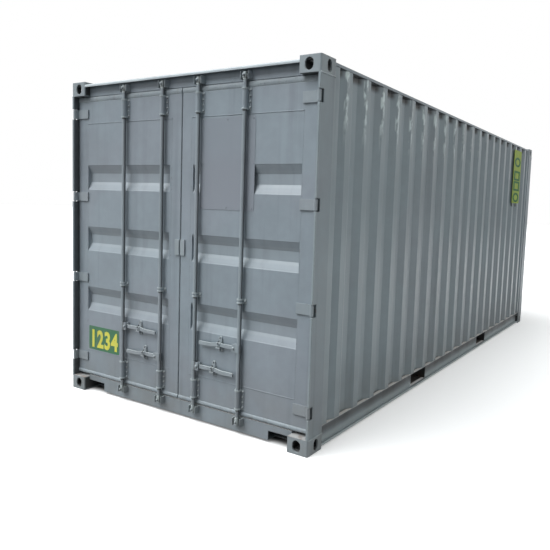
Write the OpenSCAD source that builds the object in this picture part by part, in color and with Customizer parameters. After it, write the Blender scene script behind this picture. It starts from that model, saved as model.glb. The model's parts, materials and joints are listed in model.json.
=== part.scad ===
// Twenty foot steel storage container with closed double doors at the -X end.
// Sizes are in millimetres. X runs along the length, Y across, Z up from the ground.

/* [Overall] */
// Length over the corner castings
length = 6058; // [4500:1:7500]
// Width over the corner castings
width = 2438; // [2300:1:2600]
// Height over the corner castings
height = 2591; // [2400:1:2900]

/* [Corner castings] */
// Casting size along the container
casting_l = 178; // [170:1:190]
// Casting size across the container
casting_w = 162; // [150:1:175]
// Casting height
casting_h = 112; // [107:1:114]
// Wall of the casting's sides
casting_wall = 14; // [10:0.5:16]
// Wall of the casting's slotted plate
casting_plate = 28.5; // [24:0.5:32]
// Slot centre from the end of the container
slot_from_end = 102.5; // [98:0.5:104]
// Slot centre from the side of the container
slot_from_side = 89.5; // [84:0.5:95]
// Overall length of the top and bottom slots
slot_l = 124; // [110:0.5:126]
// Width of the top and bottom slots
slot_w = 63.5; // [56:0.5:68]
// Width of the hole in the casting's side face
side_hole_w = 51; // [44:0.5:58]
// Height of the holes in the casting's side and end faces
face_hole_h = 79.5; // [70:0.5:84]
// Radius of the casting's outer upright edge
casting_r = 13; // [6:0.5:13.5]

/* [Posts] */
// Plate thickness of the posts
post_t = 6; // [4:0.5:7]
// Width of the door post's front leg
leg_w = 20; // [18:0.5:22]
// Distance from the end face to the post's door stop
stop_v = 105; // [103:0.5:112]
// Reach of the door stop from the side face
stop_u = 75; // [65:1:85]
// Width of the blind end's posts
end_post_w = 100; // [80:1:120]
// Depth of the blind end's posts
end_post_d = 60; // [55:1:70]

// Inset of the blind end's beams from the end face
end_beam_v = 6; // [5:0.5:8]

/* [Side walls] */
// Sheet thickness of the walls
wall_t = 3; // [2:0.1:4]
// Depth of the side wall's corrugation
side_depth = 36; // [30:1:37]
// Pitch of the side wall's corrugation
side_pitch = 278; // [260:1:282]
// Inset of the crests from the side face
side_inset = 8; // [6.5:0.5:9]
// Pitch of the end wall's corrugation
end_pitch = 250; // [220:1:254]
// Depth of the end wall's corrugation
end_depth = 40; // [30:1:42]
// Inset of the end wall's crests from the end face
end_inset = 10; // [8:0.5:12]
// Least flat strip at the ends of a corrugated sheet
sheet_flat = 20; // [10:1:30]

/* [Door end beams] */
// Inset of the header's face behind the door's face
header_inset = 4; // [3:0.5:6]
// Drop of the header's top below the roof
header_drop = 4; // [3:0.5:6]
// Height of the header's eave
eave_h = 22; // [18:0.5:26]
// Radius of the eave's fold
eave_r = 12; // [9:0.5:16]
// Inset of the sill's face behind the door's face
sill_inset = 2; // [1:0.5:4]
// Clearance between the doors' upper lips and the header
lip_gap_top = 5; // [4.5:0.5:8]
// Clearance between the doors' lower lips and the sill
lip_gap_bottom = 7; // [5:0.5:9]
// Width of the notches at the sill's ends
sill_notch_w = 195; // [180:1:210]
// Top of the sill's notches above the ground
sill_notch_z = 84; // [75:1:90]
// Depth of solid sill left behind a notch
sill_notch_back = 40; // [30:1:50]

/* [Rails] */
// Bottom side rail height above the ground
rail_z0 = 15; // [12.5:0.5:18]
// Top of the bottom side rail
rail_z1 = 160; // [150:1:166]
// Plate thickness of the bottom side rail
rail_t = 5; // [4:0.5:6]
// Inset of the rail's web from the side face
rail_web_u = 40; // [34:1:42]
// Inner edge of the rail's flanges
rail_in_u = 50; // [48:0.5:52]
// Top side rail width
top_rail_w = 60; // [54:1:70]
// Top side rail height
top_rail_h = 20; // [16:1:30]
// Wall of the top side rail
top_rail_t = 4; // [3:0.5:5]
// Inset of the top side rail from the side face
rail_top_u = 6; // [5:0.5:7.5]
// Inset of the bottom side rail's foot from the side face
rail_lip_u = 6; // [5:0.5:8]
// Height of the turned-up lip on the bottom side rail's foot
rail_lip_h = 15; // [12:0.5:18]
// Gap between the top of the castings and the roof
roof_gap = 17; // [12:0.5:20]
// Roof corrugation depth
roof_depth = 20; // [15:1:24]
// Roof corrugation pitch
roof_pitch = 206; // [190:1:215]

/* [Floor] */
// Top of the floor boards
floor_z = 167; // [163:0.5:175]
// Thickness of the floor boards
floor_t = 28; // [22:0.5:30]
// Number of floor boards along the container
floor_boards_n = 5; // [3:1:6]
// Fork pocket width
fork_w = 360; // [330:1:380]
// Fork pocket height
fork_h = 115; // [100:1:117]
// Distance of the fork pockets from the middle of the container
fork_x = 1025; // [950:1:1050]

// Plate thickness of the fork pockets
fork_t = 5; // [4:0.5:6]
// Width of the straps under the fork pockets' mouths
strap_w = 240; // [200:1:260]
// Distance of the straps from the rails' webs
strap_in = 30; // [20:1:40]
// Thickness of the straps
strap_t = 4; // [3:0.5:5]
// Width of a cross member's flanges
cross_w = 45; // [40:1:50]
// Thickness of a cross member
cross_t = 4; // [3:0.5:5]
// Distance of the outermost cross members from the end faces
cross_end = 290; // [260:1:320]
// Distance between a fork pocket and the cross members beside it
cross_fork = 40; // [30:1:50]
// Gap between the floor boards
board_gap = 2; // [1.5:0.5:4]

/* [Doors] */
// Inset of the door's outer face from the end of the container
door_v = 48; // [46:0.5:49]
// Thickness of the door leaf
leaf_t = 50; // [44:0.5:51]
// Gap between the door leaves
door_gap = 12; // [11.5:0.5:16]
// Outer edge of the leaf from the side face
leaf_u = 30; // [29:0.5:34]
// Bottom of the leaf's frame
leaf_z0 = 167; // [162:1:172]
// Distance of the leaf frame's top from the top of the castings
leaf_top = 157; // [156:1:165]
// Width of the leaf's inner stile
stile_in = 94; // [80:1:100]
// Width of the leaf's outer stile
stile_out = 114; // [100:1:120]
// Height of the leaf's top rail
leaf_rail_top = 176; // [160:1:185]
// Height of the leaf's bottom rail
leaf_rail_bottom = 184; // [172:1:194]
// Depth of the panel's three recesses
recess_depth = 28; // [20:1:34]
// Height of a recess at the door's face
recess_h = 203; // [190:1:220]
// Height of a recess's flat bottom
recess_flat = 72; // [60:1:90]
// Flat height of the panel below the lowest and above the highest recess
recess_margin = 341; // [320:1:360]
// Inset of the recesses from the leaf's inner stile
recess_side = 18; // [10:1:24]
// Inset of the recesses from the leaf's outer stile
recess_out = 4; // [3.5:0.5:12]
// Slope at the ends of a recess
recess_end = 5; // [3:1:30]
// Wall of the leaf's frame
leaf_wall = 4; // [3:0.5:5]
// Height of the rubber lips along the leaf's top edge
lip_h = 40; // [34:0.5:40.5]
// Height of the rubber lips along the leaf's bottom edge
lip_low = 31; // [26:0.5:34]
// Width of the rubber seal on the leaf's inner edge
seal_w = 3; // [2:0.25:3]
// Depth of the inner edge's seal
seal_t = 10; // [8:0.5:12]
// Inset of the inner edge's seal behind the door's face
seal_in = 3; // [2:0.5:6]
// How far the lips bulge from the door's face
lip_bulge = 6; // [4:0.5:6]

/* [Hinges] */
// Distance of the hinge pin from the side and end faces
pin_uv = 15; // [14:0.25:15.5]
// Radius of the hinge pin
pin_r = 6.5; // [5.5:0.25:7]
// Radius of the hinge barrel
barrel_r = 12.5; // [11:0.25:13]
// Height of a hinge blade
blade_h = 72; // [64:1:75]
// Reach of a hinge blade from the side face
blade_reach = 153; // [130:1:165]
// Centre of the lowest hinge above the ground
hinge_z = 290; // [280:1:300]
// Distance of the highest hinge's centre from the top of the castings
hinge_top = 254; // [240:1:262]
// Thickness of a hinge blade
blade_t = 10; // [8:0.5:11]
// Clearance above and below a hinge blade in its notch
notch_gap = 6; // [5:0.5:8]
// Depth of the hinge notches from the end face
notch_v = 44; // [42:0.5:46]
// Thickness of the lugs above and below a notch
lug_t = 12; // [8:0.5:16]
// Clearance between a hinge blade and the post's front leg
blade_gap = 5; // [4.5:0.25:6]
// Clearance of a hinge barrel round its pin
pin_gap = 0.5; // [0.3:0.1:0.6]

/* [Lock gear] */
// Distance of the outer lock rods from the middle
rod_out_y = 605; // [590:1:620]
// Distance of the inner lock rods from the middle
rod_in_y = 181; // [170:1:195]
// Inset of the lock rods' axes from the end face
rod_v = 24; // [23.5:0.25:24.5]
// Radius of the lock rods
rod_r = 15; // [13:0.25:15.5]
// Lower end of the lock rods
rod_z0 = 75; // [70:0.5:80]
// Distance of the rods' upper end from the top of the castings
rod_top = 57; // [54:0.5:60]
// Reach of the cams from the rod's axis
cam_r = 25; // [22:0.5:26]
// Radius of a cam's rounded nose
cam_nose = 7; // [6:0.5:8]
// Wall of a lock rod
rod_t = 4; // [3:0.5:5]
// Height of the ring at a cam's foot
cam_ring_h = 9; // [6:0.5:12]
// How far the ring at a cam's foot stands out from the lock rod
cam_ring = 2; // [1:0.25:2.25]
// Clearance of a cam from the ends of its keeper
cam_gap = 6; // [5:0.5:8]
// Thickness of a keeper's ears
keeper_t = 7; // [6:0.5:9]
// Thickness of a keeper's back plate
keeper_back = 4; // [3:0.5:5]
// Distance of the ears' tips from the end face
keeper_front = 8; // [6:0.5:12]
// Distance of a keeper from the ends of its beam's face
keeper_in = 5; // [3:0.5:8]
// Wall of a bearing sleeve round a lock rod
sleeve_t = 4.5; // [3:0.25:5]
// Height of the collars at a sleeve's ends
collar_h = 9; // [7:0.5:12]
// How far a collar stands out from its sleeve
collar_out = 4; // [2:0.25:4.5]
// Clearance between a lock rod and its sleeves
rod_gap = 0.5; // [0.3:0.1:0.6]
// Half width of a sleeve's foot on the door
foot_w = 40; // [38:0.5:46]
// Thickness of a sleeve's foot
foot_t = 5; // [4:0.5:6]
// Height of the lower sleeves
sleeve_low = 143; // [130:1:150]
// Height of the upper sleeves
sleeve_high = 145; // [130:1:155]
// Distance of the upper sleeves from the leaf's top edge
sleeve_in = 6; // [2:0.5:10]
// Distance of the lower sleeves from the leaf's bottom edge
sleeve_rise = 20; // [14:0.5:26]
// Height of the middle sleeves
sleeve_mid = 32; // [28:1:40]
// Centre of the middle sleeves above the ground
sleeve_mid_z = 966; // [940:1:990]
// Half of the gap between a keeper's ears
keeper_gap = 31; // [30:0.5:34]
// Height of the outer rods' handles
handle_hi_z = 626; // [610:1:640]
// Height of the inner rods' handles
handle_lo_z = 435; // [420:1:450]
// Length of a handle from the rod's axis
handle_l = 374; // [340:1:380]
// Height of the handle's bar
handle_h = 26; // [24:0.5:30]
// Thickness of the handle's bar
handle_t = 12; // [9:0.5:13]
// Drop of the handle's free end
handle_drop = 10; // [6:1:20]
// Distance of the handle's pivot from the rod's axis
pivot_y = 38; // [37:0.5:42]
// Radius of the handle's pivot pin
pivot_r = 6; // [5:0.5:7]
// Height of the hub that carries a handle
hub_h = 60; // [54:1:64]
// Wall of the hub round the lock rod
hub_t = 3; // [2:0.25:3]
// Thickness of the hub's fork plates
fork_plate = 9; // [7:0.5:9]
// Clearance between a handle and the fork plates
fork_gap = 2; // [1.5:0.25:2.5]
// Reach of the hub's fork plates past the pivot
fork_end = 16; // [14:0.5:18]
// Distance of an upper handle's holder from its rod's axis
holder_hi = 186; // [175:1:195]
// Distance of a lower handle's holder from its rod's axis
holder_lo = 180; // [172:1:190]
// Thickness of a handle holder's base plate
holder_t = 5; // [4:0.5:6]
// Width of a handle holder
holder_w = 40; // [36:1:44]
// Clearance between a resting handle and its holder's ledge
holder_gap = 6; // [5:0.5:8]
// Thickness of the holder's ledge
ledge_t = 8; // [6:0.5:10]
// Distance of the ledge's front from the end face
ledge_v = 10; // [8:0.5:14]
// Radius of the padlock eye above a handle
eye_r = 7; // [5:0.5:8]
// Height of the padlock eye above the handle's middle
eye_z = 44; // [40:0.5:48]
// Height of the centre lock plate
lock_h = 117; // [100:1:125]
// Width of each half of the centre lock plate
lock_w = 42; // [36:1:46]
// Depth of the centre lock plate
lock_d = 10; // [8:0.5:14]
// Wall of the centre lock plate
lock_t = 3; // [2:0.5:4]

/* [Hidden] */
hx = length/2;
hy = width/2;
post_top = height - casting_h;
rail_x = hx - casting_l;
roof_z = height - roof_gap;
rail_top_z = roof_z - top_rail_h;
web_in = rail_web_u + rail_t;
door_back = door_v + leaf_t;
leaf_z1 = height - leaf_top;
leaf_y0 = door_gap/2;
leaf_y1 = hy - leaf_u;
win_y0 = leaf_y0 + stile_in;
win_y1 = leaf_y1 - stile_out;
win_z0 = leaf_z0 + leaf_rail_bottom;
win_z1 = leaf_z1 - leaf_rail_top;
sill_v = door_v + sill_inset;
sill_z1 = leaf_z0 - lip_low - lip_gap_bottom;
header_v = door_v + header_inset;
header_z0 = leaf_z1 + lip_h + lip_gap_top;
notch_h = blade_h + 2*notch_gap;
blade_v = door_v - blade_t;
rod_z1 = height - rod_top;
fork_z0 = rail_z0 + rail_t;
cross_z1 = floor_z - floor_t;
hinge_pitch = (height - hinge_top - hinge_z)/3;
hinge_list = [for (i = [0:3]) hinge_z + i*hinge_pitch];
recess_z = win_z0 + recess_margin + recess_h/2;
recess_pitch = (win_z1 - recess_margin - recess_h/2 - recess_z)/2;
guide_bands = [[leaf_z0 + sleeve_rise, leaf_z0 + sleeve_rise + sleeve_low],
    [sleeve_mid_z - sleeve_mid/2, sleeve_mid_z + sleeve_mid/2],
    [leaf_z1 - sleeve_in - sleeve_high, leaf_z1 - sleeve_in]];
keepers_bottom = [rod_z0 - keeper_in, sill_z1 - keeper_in];
keepers_top = [header_z0 + keeper_in, rod_z1 + keeper_in];
fork_v = handle_t/2 + fork_gap + fork_plate/2;

// Sub-part to make, or "all"

// A box from its low corner to its high corner
module box(low, high) {
    translate(low) cube(high - low);
}

// The child and its mirror image on the other side of the container
module both_sides() {
    children();
    mirror([0, 1, 0]) children();
}

// The child and its mirror image at the other end of the container
module both_ends() {
    children();
    mirror([1, 0, 0]) children();
}

// Measures the child's X from the end face at the doors
module door_end() {
    translate([-hx, 0, 0]) children();
}

// A stadium hole along Z, long in X
module slot_x(l, w, h) {
    linear_extrude(height = h) {
        square([l - w, w], center = true);
        for (s = [-1, 1]) translate([s*(l - w)/2, 0]) circle(d = w, $fn = 40);
    }
}

// One casting with its low outer corner at the origin, growing to +X and -Y
module casting() {
    difference() {
        linear_extrude(height = casting_h) {
            translate([casting_r, -casting_w]) square([casting_l - casting_r, casting_w]);
            translate([0, -casting_w]) square([casting_l, casting_w - casting_r]);
            translate([casting_r, -casting_r]) circle(r = casting_r, $fn = 32);
        }
        box([casting_wall, -casting_w + casting_wall, casting_plate],
            [casting_l - casting_wall, -casting_wall, casting_h - casting_wall]);
        translate([slot_from_end, -slot_from_side, -1]) slot_x(slot_l, slot_w, casting_plate + 2);
        translate([-1, -slot_from_side, casting_h/2]) rotate([0, 90, 0])
            slot_x(face_hole_h, slot_w, casting_wall + 2);
        translate([slot_from_end, 1, casting_h/2]) rotate([0, 90, -90])
            slot_x(face_hole_h, side_hole_w, casting_wall + 2);
    }
}

module corner_castings_bottom() {
    color("SlateGray") both_ends() both_sides() translate([-hx, hy, 0]) casting();
}

module corner_castings_top() {
    color("SlateGray") translate([0, 0, height]) mirror([0, 0, 1])
        both_ends() both_sides() translate([-hx, hy, 0]) casting();
}

// A closed folded section with rounded outer corners, from its outline
module folded(outline, t) {
    difference() {
        offset(r = 5, $fn = 24) offset(delta = -5) polygon(outline);
        offset(delta = -t) polygon(outline);
    }
}

module door_posts() {
    outline = [[0, 0], [casting_l, 0], [casting_l, -stop_u], [stop_v, -stop_u],
        [stop_v, -leg_w], [0, -leg_w]];
    lug_h = notch_h/2 + lug_t;
    color("Gray") both_sides() door_end() difference() {
        union() {
            translate([0, hy, casting_h]) linear_extrude(height = post_top - casting_h)
                folded(outline, post_t);
            for (z = hinge_list)
                box([post_t/2, hy - leg_w + post_t/2, z - lug_h], [notch_v, hy - post_t/2, z + lug_h]);
        }
        for (z = hinge_list)
            box([-1, hy - leg_w - 1, z - notch_h/2], [notch_v, hy + 1, z + notch_h/2]);
    }
}

module end_posts() {
    outline = [[0, 0], [casting_l, 0], [casting_l, -rail_web_u], [end_post_d, -rail_web_u],
        [end_post_d, -end_post_w], [0, -end_post_w]];
    color("Gray") both_sides() mirror([1, 0, 0]) door_end()
        translate([0, hy, casting_h]) linear_extrude(height = post_top - casting_h)
            folded(outline, post_t);
}

// The door header's section: a hollow beam with a folded eave over the lock gear
module header_section() {
    top = roof_z - header_drop;
    difference() {
        translate([header_v, header_z0]) square([casting_l - header_v, top - header_z0]);
        translate([header_v + post_t, header_z0 + post_t])
            square([casting_l - header_v - 2*post_t, top - header_z0 - 2*post_t]);
    }
    translate([eave_r, top - post_t]) square([header_v + post_t - eave_r, post_t]);
    translate([0, top - eave_h]) square([post_t, eave_h - eave_r]);
    translate([eave_r, top - eave_r]) intersection() {
        difference() {
            circle(r = eave_r, $fn = 32);
            circle(r = eave_r - post_t, $fn = 32);
        }
        translate([-eave_r, 0]) square(eave_r);
    }
}

module door_header() {
    w = hy - casting_w;
    color("Gray") door_end() translate([0, w, 0]) rotate([90, 0, 0])
        linear_extrude(height = 2*w) header_section();
}

// The door sill with its threshold and the two corner notches
module door_sill() {
    w = hy - casting_w;
    wt = hy - stop_u;
    color("Gray") door_end() difference() {
        union() {
            box([sill_v, -w, rail_z0], [casting_l, w, sill_z1]);
            box([stop_v, -w, min(sill_z1, casting_h) - 1], [casting_l, w, casting_h + 1]);
            box([stop_v, -wt, casting_h], [casting_l, wt, floor_z]);
        }
        box([sill_v + post_t, -w - 1, rail_z0 + post_t],
            [casting_l - post_t, w + 1, sill_z1 - post_t]);
        for (s = [-1, 1])
            translate([0, s*(w - sill_notch_w/2), 0])
                box([sill_v - 1, -sill_notch_w/2, rail_z0 - 1],
                    [casting_l - sill_notch_back, sill_notch_w/2 + 1, sill_notch_z]);
    }
}

module end_header() {
    w = hy - casting_w;
    color("Gray") mirror([1, 0, 0]) door_end() difference() {
        box([end_beam_v, -w, post_top], [casting_l, w, roof_z]);
        box([end_beam_v + post_t, -w - 1, post_top + post_t],
            [casting_l - post_t, w + 1, roof_z - post_t]);
    }
}

module end_sill() {
    w = hy - casting_w;
    wt = hy - end_post_w;
    color("Gray") mirror([1, 0, 0]) door_end() difference() {
        union() {
            box([end_beam_v, -w, rail_z0], [end_post_d, w, casting_h + 1]);
            box([end_beam_v, -wt, casting_h], [end_post_d, wt, floor_z]);
        }
        box([end_beam_v + post_t, -w - 1, rail_z0 + post_t],
            [end_post_d - post_t, w + 1, casting_h - post_t]);
    }
}

module top_rails() {
    color("Gray") both_sides() difference() {
        box([-rail_x, hy - rail_top_u - top_rail_w, rail_top_z], [rail_x, hy - rail_top_u, roof_z]);
        box([-rail_x - 1, hy - rail_top_u - top_rail_w + top_rail_t, rail_top_z + top_rail_t],
            [rail_x + 1, hy - rail_top_u - top_rail_t, roof_z - top_rail_t]);
    }
}

// The bottom side rails' webs: upright plates on either side of the fork holes
module bottom_rail_webs() {
    edge = fork_w/2;
    color("Gray") both_sides() for (r = [[-rail_x, -fork_x - edge], [-fork_x + edge, fork_x - edge],
        [fork_x + edge, rail_x]])
        box([r[0], hy - web_in, rail_z0 + rail_t], [r[1], hy - rail_web_u, rail_z1 - rail_t]);
}

// The bottom side rails' flanges: a ledge under the wall and a foot with a turned-up lip
module bottom_rail_flanges() {
    color("Gray") both_sides() {
        box([-rail_x, hy - rail_in_u, rail_z1 - rail_t], [rail_x, hy - rail_lip_u, rail_z1]);
        box([-rail_x, hy - web_in, rail_z0], [rail_x, hy - rail_lip_u, rail_z0 + rail_t]);
        box([-rail_x, hy - rail_lip_u - rail_t, rail_z0], [rail_x, hy - rail_lip_u, rail_z0 + rail_lip_h]);
    }
}

// Plates that close the rails' webs over the fork holes
module fork_hole_plates() {
    color("Gray") both_sides() for (s = [-1, 1])
        box([s*fork_x - fork_w/2, hy - web_in, fork_z0 + fork_h],
            [s*fork_x + fork_w/2, hy - rail_web_u, rail_z1 - rail_t]);
}

// Points of a trapezoid wave across twice the reach: crests at 0 and troughs at depth, with as
// many crests as fit between two flat ends
function panel_wave(pitch, depth, reach) =
    let (count = floor(2*(reach - sheet_flat)/pitch - 0.26), s = (count - 1)*pitch/2)
    concat([[-reach, 0], [-s - 0.5*pitch, 0]],
        [for (i = [0:count - 1]) let (c = -s + i*pitch)
            for (p = [[-0.374, depth], [-0.13, 0], [0.13, 0], [0.374, depth]])
                [c + p[0]*pitch, p[1]]],
        [[s + 0.5*pitch, 0], [reach, 0]]);

// The wave as a sheet of even thickness measured across the sheet's depth
module sheet(points, t) {
    n = len(points);
    polygon(concat(points, [for (i = [n - 1:-1:0]) [points[i][0], points[i][1] + t]]));
}

module side_wall() {
    translate([0, hy - side_inset, rail_z1]) linear_extrude(height = rail_top_z - rail_z1)
        mirror([0, 1]) sheet(panel_wave(side_pitch, side_depth, rail_x), wall_t);
}

module side_wall_left() {
    color("DarkGray") side_wall();
}

module side_wall_right() {
    color("DarkGray") mirror([0, 1, 0]) side_wall();
}

module end_wall() {
    wave = panel_wave(end_pitch, end_depth, hy - end_post_w);
    color("DarkGray") translate([hx - end_inset, 0, floor_z])
        linear_extrude(height = post_top - floor_z) rotate(90) sheet(wave, wall_t);
}

module roof_panel() {
    w = hy - rail_top_u - top_rail_w;
    color("DarkGray") translate([0, w, roof_z]) rotate([90, 0, 0]) linear_extrude(height = 2*w)
        mirror([0, 1]) sheet(panel_wave(roof_pitch, roof_depth, rail_x), wall_t);
}

// One floor cross member: a channel across the container
module cross_member(x) {
    z0 = rail_z0 + cross_t/2;
    translate([x, hy - web_in, z0]) rotate([90, 0, 0]) linear_extrude(height = 2*(hy - web_in))
        difference() {
            square([cross_w, cross_z1 - z0]);
            translate([cross_t, cross_t]) square([cross_w, cross_z1 - z0 - 2*cross_t]);
        }
}

module cross_members() {
    inner = fork_x - fork_w/2 - cross_fork - cross_w/2;
    outer0 = fork_x + fork_w/2 + cross_fork;
    outer1 = hx - cross_end;
    color("DimGray") {
        for (i = [-3:3]) cross_member(i*inner/3 - cross_w/2);
        for (s = [-1, 1]) for (i = [0:5])
            cross_member(s*(outer0 + i*(outer1 - outer0)/5) - (s < 0 ? cross_w : 0));
    }
}

// Side plates of the fork pockets, which run from rail to rail
module fork_pocket_walls() {
    w = hy - web_in;
    color("DimGray") for (s = [-1, 1]) for (t = [-1, 1])
        translate([s*fork_x + t*(fork_w + fork_t)/2, 0, 0])
            box([-fork_t/2, -w, fork_z0 - strap_t], [fork_t/2, w, fork_z0 + fork_h]);
}

// Roof plates of the fork pockets and the straps under their mouths
module fork_pocket_plates() {
    w = hy - web_in;
    color("DimGray") for (s = [-1, 1]) translate([s*fork_x, 0, 0]) {
        box([-fork_w/2 - fork_t, -w, fork_z0 + fork_h], [fork_w/2 + fork_t, w, cross_z1]);
        for (t = [-1, 1])
            translate([0, t*(w - strap_in - strap_w/2), 0])
                box([-fork_w/2, -strap_w/2, fork_z0 - strap_t], [fork_w/2, strap_w/2, fork_z0]);
    }
}

module floor_boards() {
    x0 = -hx + casting_l;
    x1 = hx - end_post_d;
    step = (x1 - x0)/floor_boards_n;
    w = hy - rail_in_u;
    color("BurlyWood") for (i = [0:floor_boards_n - 1])
        box([x0 + i*step + (i == 0 ? 0 : board_gap), -w, cross_z1], [x0 + (i + 1)*step, w, floor_z]);
}

module hinge_pins() {
    color("Silver") both_sides() door_end() for (z = hinge_list)
        translate([pin_uv, hy - pin_uv, z - notch_h/2]) cylinder(r = pin_r, h = notch_h, $fn = 32);
}

// A cam keeper: a plate on the frame with two ears beside the lock rod's cam. The ears' outer
// sides slope in towards their tips.
module keeper(v, band) {
    w = keeper_gap + keeper_t;
    tip = keeper_gap + keeper_t/2;
    slope_v = (v + keeper_front)/2;
    door_end() translate([0, 0, band[0]]) linear_extrude(height = band[1] - band[0]) difference() {
        polygon([[v, -w], [v, w], [slope_v, w], [keeper_front, tip], [keeper_front, -tip], [slope_v, -w]]);
        translate([keeper_front - 1, -keeper_gap])
            square([v - keeper_back - keeper_front + 1, 2*keeper_gap]);
    }
}

module cam_keepers_top() {
    color("Gray") both_sides() for (y = [rod_in_y, rod_out_y])
        translate([0, y, 0]) keeper(header_v, keepers_top);
}

module cam_keepers_bottom() {
    color("Gray") both_sides() for (y = [rod_in_y, rod_out_y])
        translate([0, y, 0]) keeper(sill_v, keepers_bottom);
}

// The left door's frame: channels around a window, open towards the window
module door_frame() {
    door_end() difference() {
        box([door_v, leaf_y0, leaf_z0], [door_back, leaf_y1, leaf_z1]);
        box([door_v - 1, win_y0, win_z0], [door_back + 1, win_y1, win_z1]);
        box([door_v + leaf_wall, leaf_y0 + leaf_wall, leaf_z0 + leaf_wall],
            [door_back - leaf_wall, leaf_y1 - leaf_wall, leaf_z1 - leaf_wall]);
    }
}

// A tapered block that sinks from the door's face into the leaf
module recess(grow, depth) {
    y0 = win_y0 + recess_side - grow;
    y1 = win_y1 - recess_out + grow;
    h0 = recess_h/2 + grow;
    h1 = recess_flat/2 + grow;
    polyhedron(
        points = [[0, y0, -h0], [0, y1, -h0], [0, y1, h0], [0, y0, h0],
            [depth, y0 + recess_end, -h1], [depth, y1 - recess_end, -h1],
            [depth, y1 - recess_end, h1], [depth, y0 + recess_end, h1]],
        faces = [[0, 1, 2, 3], [4, 5, 1, 0], [7, 6, 5, 4], [5, 6, 2, 1], [6, 7, 3, 2], [7, 4, 0, 3]]);
}

module door_panel() {
    door_end() difference() {
        union() {
            box([door_v, win_y0, win_z0], [door_v + wall_t, win_y1, win_z1]);
            for (i = [0:2])
                translate([door_v, 0, recess_z + i*recess_pitch]) recess(wall_t, recess_depth + wall_t);
        }
        for (i = [0:2])
            translate([door_v, 0, recess_z + i*recess_pitch]) recess(0, recess_depth);
    }
}

// The section of a lip: a bar with a rounded front that bulges from the door's face
module lip_section(h) {
    lip_r = (h*h/4 + lip_bulge*lip_bulge)/(2*lip_bulge);
    square([leaf_t, h]);
    intersection() {
        translate([-lip_bulge, 0]) square([leaf_t, h]);
        translate([lip_r - lip_bulge, h/2]) circle(r = lip_r, $fn = 64);
    }
}

// Rubber lips along the leaf's top and bottom edges and a seal down its inner edge
module door_lips() {
    door_end() for (p = [[leaf_z1, lip_h], [leaf_z0 - lip_low, lip_low]])
        translate([door_v, leaf_y1, p[0]]) rotate([90, 0, 0])
            linear_extrude(height = leaf_y1 - leaf_y0 + seal_w/3) lip_section(p[1]);
    door_end() box([door_v + seal_in, leaf_y0 - seal_w, leaf_z0 - lip_low],
        [door_v + seal_in + seal_t, leaf_y0, leaf_z1 + lip_h]);
}

// The hinge blades of one door, with barrels around the pins
module hinge_blades() {
    door_end() for (z = hinge_list) translate([0, 0, z - blade_h/2]) difference() {
        union() {
            translate([pin_uv, hy - pin_uv, 0]) cylinder(r = barrel_r, h = blade_h, $fn = 32);
            box([pin_uv, hy - leaf_u - 1, 0], [door_v, hy - leg_w - blade_gap, blade_h]);
            box([blade_v, hy - blade_reach, 0], [door_v, hy - leg_w - blade_gap, blade_h]);
        }
        translate([pin_uv, hy - pin_uv, -1]) cylinder(r = pin_r + pin_gap, h = blade_h + 2, $fn = 32);
    }
}

// Bearing sleeves that hold the lock rods on one door
module rod_guides() {
    r = rod_r + sleeve_t;
    door_end() for (y = [rod_in_y, rod_out_y]) for (b = guide_bands) {
        h = b[1] - b[0];
        translate([rod_v, y, b[0]]) difference() {
            union() {
                cylinder(r = r, h = h, $fn = 32);
                for (z = [0, h - collar_h])
                    translate([0, 0, z]) cylinder(r = r + collar_out, h = collar_h, $fn = 32);
                box([0, -r, 0], [door_v - rod_v, r, h]);
                box([door_v - rod_v - foot_t, -foot_w, 0], [door_v - rod_v, foot_w, h]);
            }
            translate([0, 0, -1]) cylinder(r = rod_r + rod_gap, h = h + 2, $fn = 32);
        }
    }
}

// Holders under the resting handles: a plate with a padlock eye above, a ledge under the handle
// and two prongs below
module handle_holder(y, z) {
    low = z - handle_h/2 - holder_gap;
    eye_out = holder_w*0.4;
    prong = ledge_t*4;
    door_end() translate([0, y, 0]) {
        difference() {
            union() {
                box([door_v - holder_t, -holder_w/2, low - prong], [door_v, holder_w/2, z + eye_z - eye_out]);
                translate([door_v - 2*holder_t, 0, z + eye_z]) rotate([0, 90, 0])
                    cylinder(r = eye_out, h = 2*holder_t, $fn = 32);
                box([door_v - 2*holder_t, -eye_out, z + eye_r], [door_v, eye_out, z + eye_z]);
            }
            translate([0, 0, z + eye_z]) rotate([0, 90, 0]) cylinder(r = eye_r, h = door_v + 1, $fn = 24);
            box([0, -holder_w/6, low - prong - 1], [door_v + 1, holder_w/6, low - 1.5*ledge_t]);
        }
        box([ledge_v, -holder_w/2, low - ledge_t], [door_v - 1, holder_w/2, low]);
    }
}

module handle_holders() {
    handle_holder(rod_out_y - holder_hi, handle_hi_z);
    handle_holder(rod_in_y + holder_lo, handle_lo_z);
}

// One half of the centre lock's cover: a hood that is open below
module lock_plate() {
    z = (leaf_z0 + leaf_z1)/2;
    door_end() translate([door_v - lock_d, leaf_y0 + 1, z - lock_h/2]) difference() {
        cube([lock_d, lock_w, lock_h]);
        translate([lock_t, lock_t, -1]) cube([lock_d, lock_w - 2*lock_t, lock_h - lock_t + 1]);
    }
}

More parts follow.
